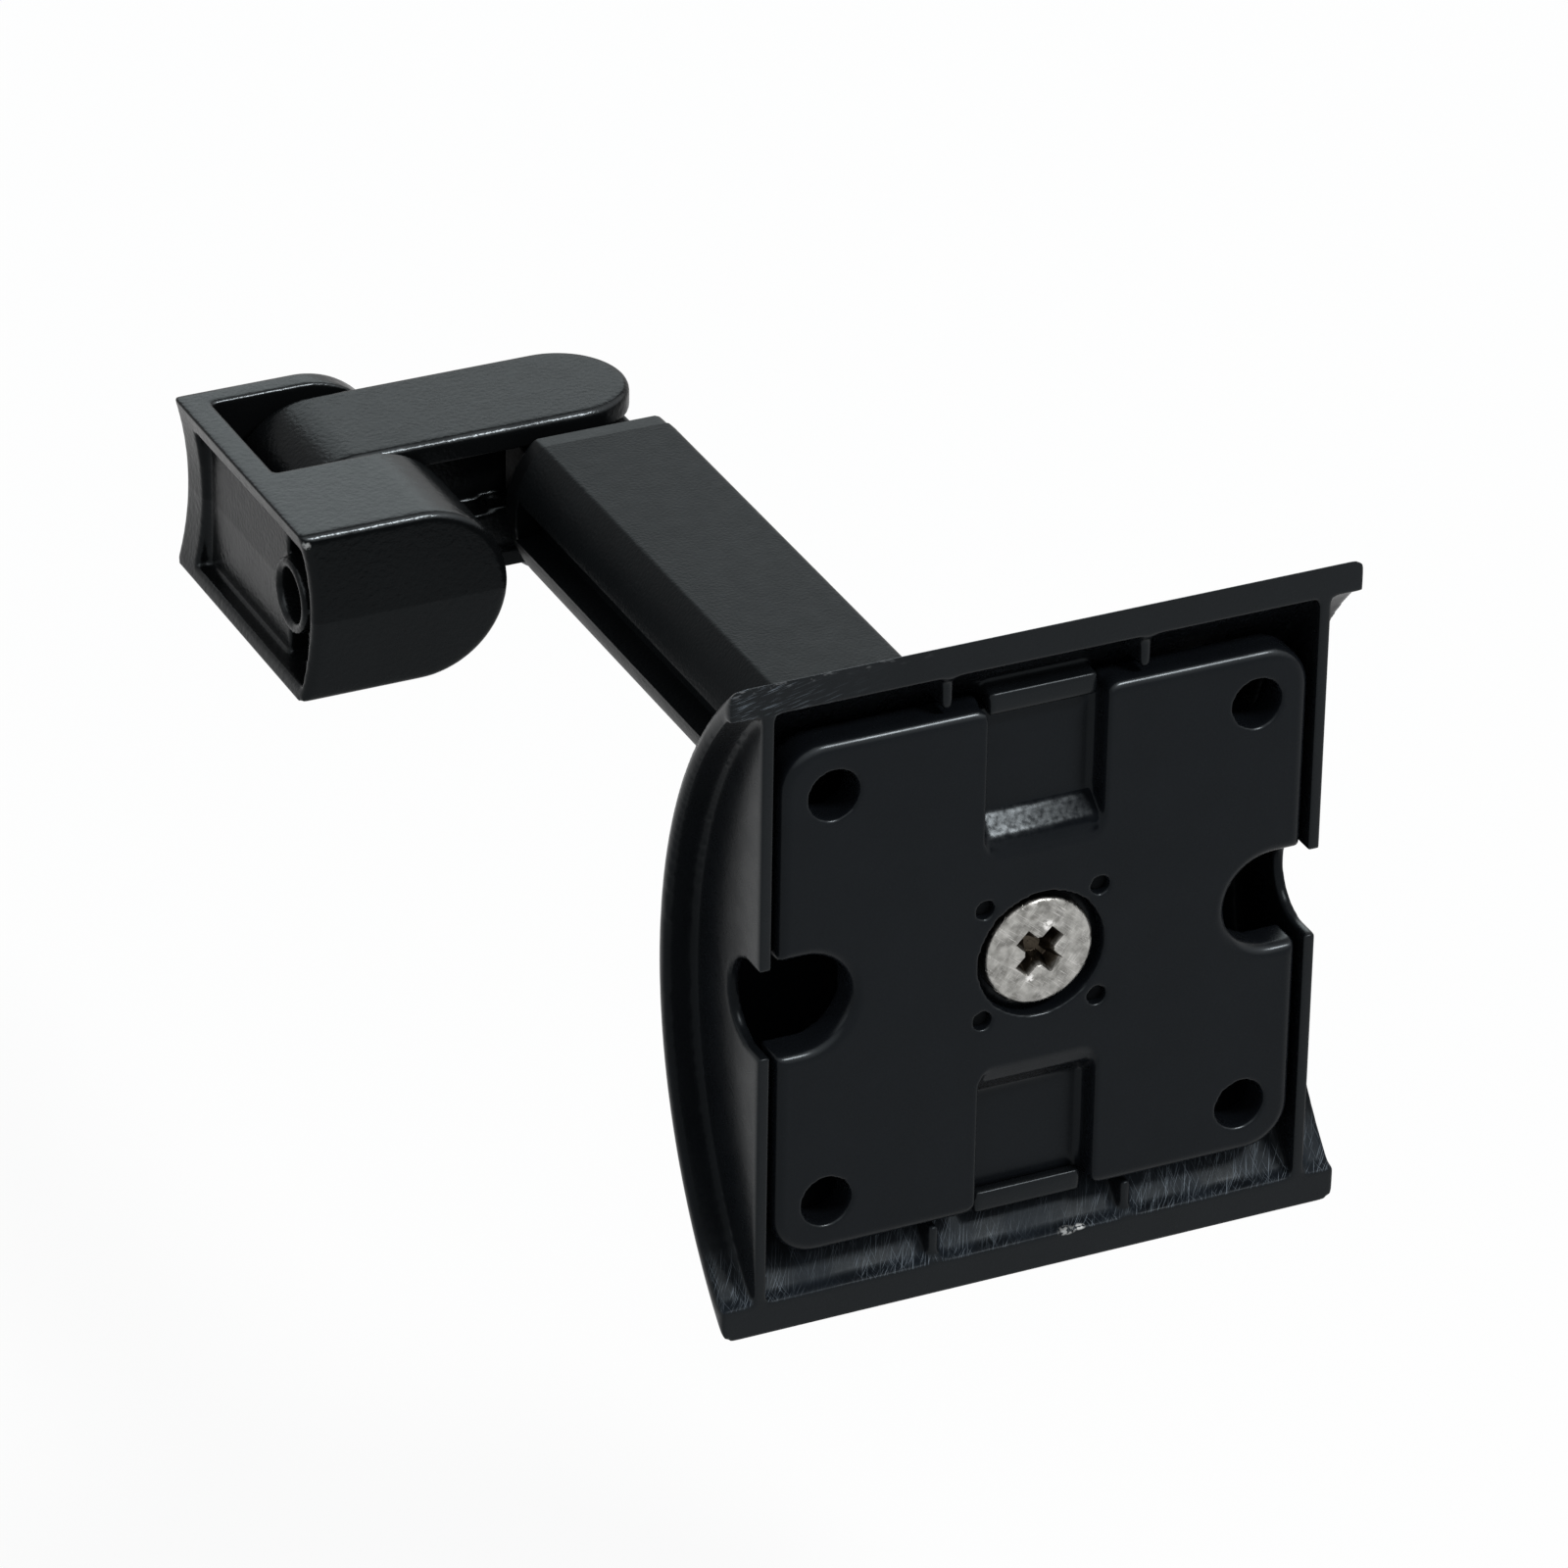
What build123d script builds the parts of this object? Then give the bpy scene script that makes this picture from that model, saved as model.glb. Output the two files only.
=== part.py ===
from build123d import *
import os

# A wall bracket for a small loudspeaker. A die-cast plate screws to the wall, a moulded cover
# clips over it, and an extruded arm leads to a swivelling link and a tilting yoke.
# X runs along the wall, Y into the room and Z up. The origin is the middle of the wall face.

# Wall plate
plate_side = 60.0
plate_corner = 5.0
plate_depth = 4.2
plate_wall = 1.8
plate_edge_round = 1.1
hole_spacing = 48.0
wall_hole = 5.6
screw_pad = 10.0
notch_radius = 5.6
notch_reach = 8.6
hub_diameter = 26.0
hub_depth = 5.0
head_recess = 14.4
head_recess_depth = 2.4
peg_offset = 6.6
tab_width = 13.4
tab_recess = 3.0
tab_end_gap = 1.0
ramp_start = 12.4
ramp_end = 16.6
trough_round = 1.8
mouth_round = 1.5

# Wall cover
cover_side_margin = 5.8
cover_end_margin = 8.4
cover_bulge = 17.0
cover_wall = 2.0
lip_height = 3.9
side_wall = 1.3
side_gap = 0.8
cable_notch = 10.0
cable_notch_depth = 7.4
rib_spacing = 22.4
rib_wall = 1.2
rib_setback = 0.6
hook_width = 12.4
hook_lip = 1.5
hook_bite = 0.9
hook_stem = 1.6
hook_gap = 0.1
arm_gap = 0.4
collar_wall = 1.4
collar_height = 1.2

# Arm profile
arm_diameter = 22.7
arm_height = 16.8
arm_end = 110.0
arm_round = 0.8
groove_height = 5.2
groove_floor = 7.8
core_width = 11.2
core_height = 12.4
core_round = 1.5

# Plugs and knuckle
plug_gap = 0.05
plug_length = 22.0
spigot_length = 18.0
flange_thickness = 2.7
flange_step = 0.25
tongue_width = 14.0
pivot_reach = 10.7
slab_gap = 0.2
swivel_washer = 0.8

# Swivel link
link_width = 16.3
link_over_arm = 0.4
top_slab = 3.0
bottom_slab = 2.2
pocket_depth = 4.2
ledge_level = 1.8
block_inset = 0.45
web_gap = 1.0
tilt_reach = 27.4
barrel_radius = 9.6
pocket_to_tilt = 6.2
dimple_diameter = 3.6
dimple_ring = 0.5
dimple_height = 0.5

# Yoke
yoke_radius = 10.45
yoke_face_reach = 14.4
front_prong = 16.1
back_prong = 3.5
base_wall = 3.4
tilt_washer = 0.9
tilt_gap = 0.25
prong_draft = 0.4
parting_drop = 0.7
saddle_radius = 38.0
rim_over = 2.4
rim_under = 1.5
rim_back = 5.4
face_panel_depth = 0.9
panel_round = 0.8
cavity_wall = 1.6
cavity_width = 7.9
cavity_depth = 9.8
boss_diameter = 8.8
boss_hole = 6.2
boss_chamfer = 0.4
boss_from_edge = 6.6
boss_proud = 0.4
boss_rib = 1.2
edge_round = 0.9

# Fasteners
screw_diameter = 6.0
screw_head = 12.4
screw_head_height = 2.0
screw_length = 20.0
cross_width = 5.8
cross_slot = 2.0
cross_depth = 2.2
cross_taper = 18
cross_middle = 3.4
thread_gap = 0.05
shank_gap = 0.3
bush_diameter = 8.0
bush_gap = 0.05
bolt_head = 11.0
bolt_head_height = 3.0
socket_size = 4.0
socket_depth = 1.8
spring_washer = 1.1
spring_washer_diameter = 11.0
spring_split = 1.2
washer_diameter = 14.0
peg_diameter = 2.0
peg_length = 11.0
peg_inset = 1.0
fixing_diameter = 4.0
fixing_head = 7.4
fixing_length = 7.0
fixing_spacing = 9.0
bolt_engagement = 9.0

# Places worked out from the sizes above
half_plate = plate_side / 2
cover_width = plate_side + 2 * cover_side_margin
cover_height = plate_side + 2 * cover_end_margin
link_top = arm_height / 2 + link_over_arm
link_bottom = link_top
pivot_y = arm_end + flange_thickness + pivot_reach
tilt_z = link_top - barrel_radius
tilt_x = -tilt_reach
slab_under = link_top - top_slab
slab_over = -link_bottom + bottom_slab
tongue_top = slab_under - swivel_washer - slab_gap
tongue_bottom = slab_over + swivel_washer + slab_gap
link_half = link_width / 2
prong_clear = link_half + tilt_washer + tilt_gap
slot_front = pivot_y - prong_clear
slot_back = pivot_y + prong_clear
yoke_front = slot_front - front_prong
yoke_back = slot_back + back_prong
face_x = tilt_x - yoke_face_reach
slot_x = face_x + base_wall
arc_radius = ((cover_height / 2) ** 2 + cover_bulge ** 2) / (2 * cover_bulge)
arc_centre = cover_bulge - arc_radius
boss_y = yoke_front + boss_from_edge
parting_z = tilt_z - parting_drop


def along_y(sketch, start, end):
    """A profile drawn in X and Z, pushed from one Y to another."""
    return extrude(Plane.XZ.offset(-start) * sketch, amount=start - end)


def along_x(sketch, start, end):
    """A profile drawn in Y and Z, pushed from one X to another."""
    return extrude(Plane.YZ.offset(start) * sketch, amount=end - start)


def along_z(sketch, start, end):
    """A profile drawn in X and Y, pushed from one Z to another."""
    return extrude(Plane.XY.offset(start) * sketch, amount=end - start)


def block(x0, x1, y0, y1, z0, z1):
    """A plain box between two corners."""
    centre = ((x0 + x1) / 2, (y0 + y1) / 2, (z0 + z1) / 2)
    return Pos(*centre) * Box(x1 - x0, y1 - y0, z1 - z0)


def ring(outer, inner):
    """A flat ring, given by its two diameters."""
    return Circle(outer / 2) - Circle(inner / 2)


def save(shape, name, colour):
    """Writes one named piece."""
    shape.label = name
    shape.color = Color(colour)
    export_step(shape, f"parts/{name}.step")


def arm_section(shrink=0.0):
    """The outline of the arm: a round bar with a flat top and a flat underside."""
    section = Circle(arm_diameter / 2 - shrink) & Rectangle(arm_diameter, arm_height - 2 * shrink)
    return fillet(section.vertices(), arm_round)


def corner_places(spacing):
    """The four corners of a square pattern in X and Z."""
    half = spacing / 2
    return [(x, z) for x in (-half, half) for z in (-half, half)]


def trough_plan(up):
    """A sunken tab seen from the wall: round inner corners, and a mouth that widens at the edge."""
    half_height = half_plate + 1 - ramp_start
    middle = up * (ramp_start + half_height)
    plan = Pos(0, middle) * RectangleRounded(tab_width, 2 * half_height, trough_round)
    for side in (-1, 1):
        corner = Pos(side * (tab_width + mouth_round) / 2, up * half_plate)
        flare = corner * Rectangle(mouth_round, 2 * mouth_round)
        round_middle = Pos(side * (tab_width / 2 + mouth_round), up * (half_plate - mouth_round))
        plan += flare - round_middle * Circle(mouth_round)
    return plan


def make_wall_plate():
    """The casting: an open tray with a hub, four screw pads and two sunken tabs."""
    outline = RectangleRounded(plate_side, plate_side, plate_corner)
    for side in (-1, 1):
        centre_x = side * (half_plate - notch_reach + notch_radius)
        outline -= Pos(centre_x, 0) * Circle(notch_radius)
        outline -= Pos(side * half_plate, 0) * Rectangle(2 * (notch_reach - notch_radius), 2 * notch_radius)
    plate = along_y(outline, 0, plate_depth)
    front_edges = plate.edges().filter_by_position(Axis.Y, -0.01, 0.01)
    plate = fillet(front_edges, plate_edge_round)
    plate -= along_y(offset(outline, -plate_wall, kind=Kind.INTERSECTION), plate_wall, plate_depth)
    plate += along_y(Circle(hub_diameter / 2), plate_wall / 2, hub_depth)
    for x, z in corner_places(hole_spacing):
        plate += along_y(Pos(x, z) * Circle(screw_pad / 2), plate_wall / 2, plate_depth)
    # The middle of the top and bottom edges is sunk, which leaves a tab for the cover's hook.
    trough = tab_width / 2
    trough_wall = trough + plate_wall
    ramp_run = ramp_end - ramp_start
    tab_end = half_plate - tab_end_gap
    tab_back = tab_recess + plate_wall
    for up in (-1, 1):
        sunk = Polyline(
            (-1, up * ramp_start),
            (0, up * ramp_start),
            (tab_recess / 4, up * (ramp_start + ramp_run / 2)),
            (tab_recess, up * ramp_end),
            (tab_recess, up * (half_plate + 1)),
            (-1, up * (half_plate + 1)),
            close=True,
        )
        shelf = Polyline(
            (plate_wall / 2, up * (ramp_start - plate_wall)),
            (tab_back, up * ramp_end),
            (tab_back, up * tab_end),
            (tab_recess / 2, up * tab_end),
            close=True,
        )
        plate += along_x(make_face(shelf), -trough_wall, trough_wall)
        reach = trough + mouth_round
        cutter = along_x(make_face(sunk), -reach, reach)
        plate -= cutter & along_y(trough_plan(up), -1, tab_recess)
        z_span = sorted((up * tab_end, up * (half_plate + 1)))
        plate -= block(-trough, trough, -1, hub_depth + 1, z_span[0], z_span[1])
    plate -= along_y(Circle(head_recess / 2), -1, head_recess_depth)
    plate -= along_y(Circle(screw_diameter / 2 + shank_gap), 0, hub_depth)
    for x, z in corner_places(2 * peg_offset):
        plate -= along_y(Pos(x, z) * Circle(peg_diameter / 2 + thread_gap), -1, hub_depth)
    for x, z in corner_places(hole_spacing):
        plate -= along_y(Pos(x, z) * Circle(wall_hole / 2), -1, plate_depth)
    return plate


def make_wall_cover():
    """The moulding: a bowed sheet with side walls, small ribs and two snap hooks."""
    outer = Pos(arc_centre, 0) * Circle(arc_radius)
    inner = Pos(arc_centre, 0) * Circle(arc_radius - cover_wall)
    room_side = Pos(cover_bulge / 2, 0) * Rectangle(cover_bulge, cover_height)
    half_width = cover_width / 2
    lip_inner = cover_height / 2 - lip_height
    sheet = outer & room_side
    sheet -= inner & (Pos(cover_bulge / 2, 0) * Rectangle(cover_bulge, 2 * lip_inner))
    cover = along_x(sheet, -half_width, half_width)
    rim_edges = cover.edges().filter_by(GeomType.CIRCLE).group_by(SortBy.RADIUS)[-1]
    cover = fillet(rim_edges, cover_wall / 2.5)
    hollow = inner & room_side
    wall_inner = half_plate + side_gap
    wall_shape = hollow & (Pos(cover_bulge / 2, 0) * Rectangle(cover_bulge, 2 * lip_inner + cover_wall))
    notch_centre = cable_notch_depth - cable_notch / 2
    wall_shape -= Pos(notch_centre, 0) * Circle(cable_notch / 2)
    wall_shape -= Pos(notch_centre / 2, 0) * Rectangle(notch_centre, cable_notch)
    for start in (wall_inner, -wall_inner - side_wall):
        cover += along_x(wall_shape, start, start + side_wall)
    # Short ribs brace the lips beside each hook.
    rib_start = half_plate + side_gap
    rib_band = Pos(cover_bulge / 2 + rib_setback, 0) * Rectangle(cover_bulge, 2 * lip_inner + 1)
    rib_shape = (hollow & rib_band) - Rectangle(4 * cover_bulge, 2 * rib_start)
    for x in (-rib_spacing / 2, rib_spacing / 2):
        cover += along_x(rib_shape, x - rib_wall / 2, x + rib_wall / 2)
    # Each hook reaches over the end of a sunken tab of the plate.
    stem_start = half_plate - tab_end_gap + 3 * hook_gap
    stem_end = stem_start + hook_stem
    lip_back = tab_recess - hook_gap
    lip_front = lip_back - hook_lip
    for up in (-1, 1):
        stem_band = Pos((cover_bulge + lip_front) / 2, up * (stem_start + stem_end) / 2)
        stem = hollow & (stem_band * Rectangle(cover_bulge - lip_front, hook_stem))
        lip_span = stem_end - stem_start + hook_bite
        lip_middle = up * (stem_end - lip_span / 2)
        stem += Pos((lip_front + lip_back) / 2, lip_middle) * Rectangle(hook_lip, lip_span)
        cover += along_x(stem, -hook_width / 2, hook_width / 2)
    # A low collar stands round the opening that the arm passes through.
    collar_start = cover_bulge - cover_wall
    cover += along_y(arm_section(-arm_gap - collar_wall), collar_start, cover_bulge + collar_height)
    cover -= along_y(arm_section(-arm_gap), hub_depth, cover_bulge + collar_height + 1)
    return cover


def make_arm_profile():
    """The extrusion: round sides, flat top, hollow core and a cable groove in each side."""
    section = arm_section() - RectangleRounded(core_width, core_height, core_round)
    groove_depth = arm_diameter / 2 - groove_floor
    for side in (-1, 1):
        groove_x = side * (groove_floor + groove_depth / 2)
        section -= Pos(groove_x, 0) * Rectangle(groove_depth, groove_height)
    arm = along_y(section, hub_depth, arm_end)
    for x, z in corner_places(2 * peg_offset):
        peg_end = peg_inset + peg_length
        arm -= along_y(Pos(x, z) * Circle(peg_diameter / 2 + thread_gap), hub_depth, peg_end)
    for y in fixing_places():
        arm -= fixing_hole(y, fixing_head / 2)
    return arm


def core_plug(start, end):
    """A solid that fills the hollow core between two places along the arm."""
    width = core_width - 2 * plug_gap
    height = core_height - 2 * plug_gap
    return along_y(RectangleRounded(width, height, core_round), start, end)


def make_arm_root_plug():
    """The tapped block in the wall end of the arm."""
    plug = core_plug(hub_depth, hub_depth + plug_length)
    return plug - along_y(Circle(screw_diameter / 2 + thread_gap), hub_depth, hub_depth + plug_length)


def make_arm_screw():
    """The long cross-head screw that clamps the arm to the plate."""
    head_start = head_recess_depth - screw_head_height
    head = along_y(Circle(screw_head / 2), head_start, head_recess_depth)
    rim = head.edges().filter_by_position(Axis.Y, head_start - 0.01, head_start + 0.01)
    head = fillet(rim, screw_head_height / 3)
    screw = head + along_y(Circle(screw_diameter / 2), head_recess_depth, head_recess_depth + screw_length)
    mouth = Plane.XZ.offset(-head_start)
    for turn in (45, 135):
        slot = mouth * (Rot(0, 0, turn) * Rectangle(cross_width, cross_slot))
        screw -= extrude(slot, amount=-cross_depth, taper=cross_taper)
    return screw - extrude(mouth * Circle(cross_middle / 2), amount=-cross_depth, taper=cross_taper)


def make_locating_pins():
    """Four pins that stop the arm from turning on the plate."""
    pins = [
        along_y(Pos(x, z) * Circle(peg_diameter / 2), peg_inset, peg_inset + peg_length)
        for x, z in corner_places(2 * peg_offset)
    ]
    return Compound(children=pins)


def fixing_places():
    """The two places along the arm where screws hold the knuckle's spigot."""
    middle = arm_end - spigot_length / 2
    return (middle - fixing_spacing / 2, middle + fixing_spacing / 2)


def fixing_hole(y, head_radius):
    """A countersunk hole up through the underside of the arm."""
    sink = head_radius - fixing_diameter / 2
    cone = Cone(fixing_diameter / 2, head_radius, sink)
    under = -arm_height / 2
    hole = Pos(0, y, under + sink / 2) * Rot(180, 0, 0) * cone
    drill = Cylinder(fixing_diameter / 2 + thread_gap, fixing_length)
    return hole + Pos(0, y, under + fixing_length / 2) * drill


def make_knuckle_screws():
    """Two countersunk screws that hold the knuckle in the arm."""
    sink = (fixing_head - fixing_diameter) / 2
    under = -arm_height / 2
    screws = []
    for y in fixing_places():
        cone = Cone(fixing_diameter / 2, fixing_head / 2, sink)
        head = Pos(0, y, under + sink / 2) * Rot(180, 0, 0) * cone
        shank = Pos(0, y, under + fixing_length / 2) * Cylinder(fixing_diameter / 2, fixing_length)
        socket = Pos(0, y, under) * Rot(0, 0, 45) * Box(cross_width / 2, cross_slot / 2, cross_depth)
        cross = Pos(0, y, under) * Rot(0, 0, 135) * Box(cross_width / 2, cross_slot / 2, cross_depth)
        screws.append(head + shank - socket - cross)
    return Compound(children=screws)


def make_end_knuckle():
    """The casting in the far end of the arm, with a flange and a tongue for the swivel."""
    flange_end = arm_end + flange_thickness
    knuckle = along_y(arm_section(flange_step), arm_end, flange_end)
    knuckle += core_plug(arm_end - spigot_length, arm_end)
    radius = tongue_width / 2
    plan = Pos(0, pivot_y) * Circle(radius)
    plan += Pos(0, (flange_end + pivot_y) / 2) * Rectangle(tongue_width, pivot_reach)
    knuckle += along_z(plan, tongue_bottom, tongue_top)
    knuckle -= Pos(0, pivot_y, 0) * Cylinder(bush_diameter / 2 + bush_gap, 2 * arm_height)
    for y in fixing_places():
        drill = Pos(0, y, -arm_height / 2 + fixing_length / 2)
        knuckle -= drill * Cylinder(fixing_diameter / 2 + thread_gap, fixing_length)
    return knuckle


def make_swivel_link():
    """The short link: a fork over the tongue at one end and a barrel at the other."""
    length = tilt_reach
    slab_plan = Pos(0, pivot_y) * Circle(link_half)
    slab_plan += Pos(-length / 2, pivot_y) * Rectangle(length, link_width)
    block_half = link_half - block_inset
    block_plan = Pos(0, pivot_y) * Circle(block_half)
    block_plan += Pos(-length / 2, pivot_y) * Rectangle(length, 2 * block_half)
    web_half = link_half - pocket_depth
    web_plan = Pos(-length / 2, pivot_y) * Rectangle(length, 2 * web_half)
    link = along_z(slab_plan, slab_under, link_top)
    link += along_z(slab_plan, -link_bottom, slab_over)
    link += along_z(web_plan, -ledge_level, slab_under)
    link += along_z(block_plan, slab_over, -ledge_level)
    # The fork's mouth is open on three sides, so that the tongue can turn in it.
    mouth_edge = tongue_width / 2 + web_gap
    mouth_length = mouth_edge + link_width
    mouth = Pos(mouth_length / 2 - mouth_edge, pivot_y) * Rectangle(mouth_length, 2 * link_width)
    link -= along_z(mouth, slab_over, slab_under)
    # The barrel turns in the yoke. Side pockets run into it under the top slab.
    barrel = along_y(Pos(tilt_x, tilt_z) * Circle(barrel_radius), pivot_y - link_half, pivot_y + link_half)
    pocket_start = tilt_x + pocket_to_tilt
    for side in (-1, 1):
        y_span = sorted((pivot_y + side * web_half, pivot_y + side * 2 * link_half))
        barrel -= block(pocket_start, 0, y_span[0], y_span[1], -ledge_level, slab_under)
    link += barrel
    top_edges = link.faces().sort_by(Axis.Z)[-1].edges().filter_by_position(Axis.Y, 0, 2 * pivot_y)
    top_edges = [edge for edge in top_edges if edge.center().X > tilt_x + 1]
    link = fillet(top_edges, edge_round)
    for side in (-1, 1):
        dimple_x = -mouth_edge - dimple_diameter / 2 - dimple_ring
        dimple_y = pivot_y + side * (web_half + pocket_depth / 2 - block_inset / 2)
        dimple = Pos(dimple_x, dimple_y) * ring(dimple_diameter, dimple_diameter - 2 * dimple_ring)
        link += along_z(dimple, -ledge_level, -ledge_level + dimple_height)
    tapped = screw_diameter / 2 + thread_gap
    link -= along_z(Pos(0, pivot_y) * Circle(tapped), -link_bottom, link_top - edge_round)
    link -= along_y(Pos(tilt_x, tilt_z) * Circle(bush_diameter / 2 + bush_gap), slot_front, slot_back)
    return link


def make_yoke():
    """The casting that holds the speaker: two prongs on a base with a hollow saddle face."""
    profile = Pos(tilt_x, tilt_z) * Circle(yoke_radius)
    profile += Pos(tilt_x - yoke_face_reach / 2, tilt_z) * Rectangle(yoke_face_reach, 2 * yoke_radius)
    rise = (saddle_radius ** 2 - yoke_radius ** 2) ** 0.5
    profile -= Pos(face_x - rise, tilt_z) * Circle(saddle_radius)
    yoke = along_y(profile, yoke_front, yoke_back)
    # Below the parting line the wall-side face leans back a little, as the mould needs.
    z_low = tilt_z - yoke_radius
    z_high = tilt_z + yoke_radius
    lean = Polyline(
        (yoke_front - 1, parting_z),
        (yoke_front, parting_z),
        (yoke_front + prong_draft, z_low),
        (yoke_front + prong_draft, z_low - 1),
        (yoke_front - 1, z_low - 1),
        close=True,
    )
    yoke -= along_x(make_face(lean), face_x - 1, tilt_x + yoke_radius + 1)
    near_face = yoke.edges().filter_by_position(Axis.Y, yoke_front - 0.01, yoke_front + prong_draft + 0.01)
    ends = near_face.filter_by(lambda edge: abs(edge.center().Z - parting_z) > 0.01)
    ends += yoke.edges().filter_by_position(Axis.Y, yoke_back - 0.01, yoke_back + 0.01)
    yoke = fillet(ends, edge_round)
    yoke -= block(slot_x, tilt_x + 2 * yoke_radius, slot_front, slot_back, z_low - 1, z_high + 1)
    # The face has a raised rim. Behind it lie a shallow panel and, in the thick prong, a deep well.
    saddle_x = face_x - rise + saddle_radius
    panel_low = z_low + rim_under
    panel_high = z_high - rim_over
    well_front = yoke_front + cavity_wall
    well_back = well_front + cavity_width
    panel_floor = saddle_x + face_panel_depth
    panel_back = yoke_back - rim_back
    panel = block(face_x - 1, panel_floor, well_front, panel_back, panel_low, panel_high)
    yoke -= fillet(panel.edges().filter_by(Axis.Z).group_by(Axis.Y)[-1].sort_by(Axis.X)[-1], panel_round)
    well_floor = face_x + cavity_depth
    yoke -= block(face_x - 1, well_floor, well_front, well_back, panel_low, panel_high)
    boss_start = saddle_x - boss_proud
    yoke += along_x(Pos(boss_y, tilt_z) * Circle(boss_diameter / 2), boss_start, well_floor)
    rib_half = boss_rib / 2
    rib_x = boss_start + 2 * boss_rib
    yoke += block(rib_x, well_floor, boss_y - rib_half, boss_y + rib_half, panel_low, panel_high)
    mouth = Pos(boss_start + boss_chamfer / 2, boss_y, tilt_z) * Rot(0, -90, 0)
    yoke -= mouth * Cone(boss_hole / 2, boss_hole / 2 + boss_chamfer, boss_chamfer)
    yoke -= along_x(Pos(boss_y, tilt_z) * Circle(boss_hole / 2), face_x - 1, well_floor - boss_rib)
    clear = along_y(Pos(tilt_x, tilt_z) * Circle(screw_diameter / 2 + shank_gap), slot_back, yoke_back + 1)
    tapped = along_y(
        Pos(tilt_x, tilt_z) * Circle(screw_diameter / 2 + thread_gap),
        slot_front - bolt_engagement,
        slot_front,
    )
    return yoke - clear - tapped


def pivot_bolt(grip):
    """A socket-head bolt lying along Z, with its head's underside at zero and its shank upward."""
    head = Pos(0, 0, -bolt_head_height / 2) * Cylinder(bolt_head / 2, bolt_head_height)
    rim = head.edges().filter_by_position(Axis.Z, -bolt_head_height - 0.01, -bolt_head_height + 0.01)
    head = fillet(rim, bolt_head_height / 3)
    across_corners = socket_size / 3 ** 0.5
    socket = along_z(RegularPolygon(across_corners, 6), -bolt_head_height, -bolt_head_height + socket_depth)
    return head - socket + Pos(0, 0, grip / 2) * Cylinder(screw_diameter / 2, grip)


def split_washer():
    """A split spring washer lying along Z, on top of zero."""
    washer = along_z(ring(spring_washer_diameter, screw_diameter + shank_gap), 0, spring_washer)
    return washer - Pos(spring_washer_diameter / 2, 0, 0) * Box(spring_washer_diameter, spring_split, 4)


def make_swivel_hardware():
    """The bolt, bush and washers of the upright pivot."""
    stack = -link_bottom - spring_washer
    grip = link_top - 2 * edge_round - stack
    bolt = Pos(0, pivot_y, stack) * pivot_bolt(grip)
    spring = Pos(0, pivot_y, stack) * split_washer()
    bore = screw_diameter + 2 * bush_gap
    bush_low = tongue_bottom
    bush = along_z(Pos(0, pivot_y) * ring(bush_diameter, bore), bush_low, tongue_top)
    disc = Pos(0, pivot_y) * ring(tongue_width, bore)
    upper = along_z(disc, tongue_top, tongue_top + swivel_washer)
    lower = along_z(disc, tongue_bottom - swivel_washer, tongue_bottom)
    return bolt, spring, bush, upper, lower


def make_tilt_hardware():
    """The bolt, bush and washers of the level pivot."""
    stack = yoke_back + spring_washer
    grip = stack - slot_front + bolt_engagement - edge_round
    towards_wall = Pos(tilt_x, stack, tilt_z) * Rot(90, 0, 0)
    bolt = towards_wall * pivot_bolt(grip)
    spring = towards_wall * split_washer()
    bore = screw_diameter + 2 * bush_gap
    centre = Pos(tilt_x, tilt_z)
    bush = along_y(centre * ring(bush_diameter, bore), pivot_y - link_half, pivot_y + link_half)
    disc = centre * ring(washer_diameter, bore)
    front = along_y(disc, slot_front, slot_front + tilt_washer)
    back = along_y(disc, slot_back - tilt_washer, slot_back)
    return bolt, spring, bush, front, back


swivel_bolt, swivel_spring, swivel_bush, swivel_upper, swivel_lower = make_swivel_hardware()
tilt_bolt, tilt_spring, tilt_bush, tilt_front, tilt_back = make_tilt_hardware()

save(make_wall_plate(), "wall_plate", 0x202326)
save(make_wall_cover(), "wall_cover", 0x26292C)
save(make_arm_profile(), "arm_profile", 0x2C3033)
save(make_arm_root_plug(), "arm_root_plug", 0x8A8D90)
save(make_arm_screw(), "arm_screw", 0xC8CACC)
save(make_locating_pins(), "locating_pins", 0x9A9DA0)
save(make_end_knuckle(), "end_knuckle", 0x34383B)
save(make_knuckle_screws(), "knuckle_screws", 0x1C1E20)
save(make_swivel_link(), "swivel_link", 0x303437)
save(swivel_bolt, "swivel_bolt", 0x1C1E20)
save(swivel_spring, "swivel_spring_washer", 0x2A2C2E)
save(swivel_bush, "swivel_bush", 0x2A2C2E)
save(swivel_upper, "swivel_washer_upper", 0x2A2C2E)
save(swivel_lower, "swivel_washer_lower", 0x2A2C2E)
save(make_yoke(), "yoke", 0x2A2E31)
save(tilt_bolt, "tilt_bolt", 0x1C1E20)
save(tilt_spring, "tilt_spring_washer", 0x2A2C2E)
save(tilt_bush, "tilt_bush", 0x2A2C2E)
save(tilt_front, "tilt_washer_front", 0x2A2C2E)
save(tilt_back, "tilt_washer_back", 0x2A2C2E)
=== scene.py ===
import math

import bmesh
import bpy
from mathutils import Euler, Matrix, Vector


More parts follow.
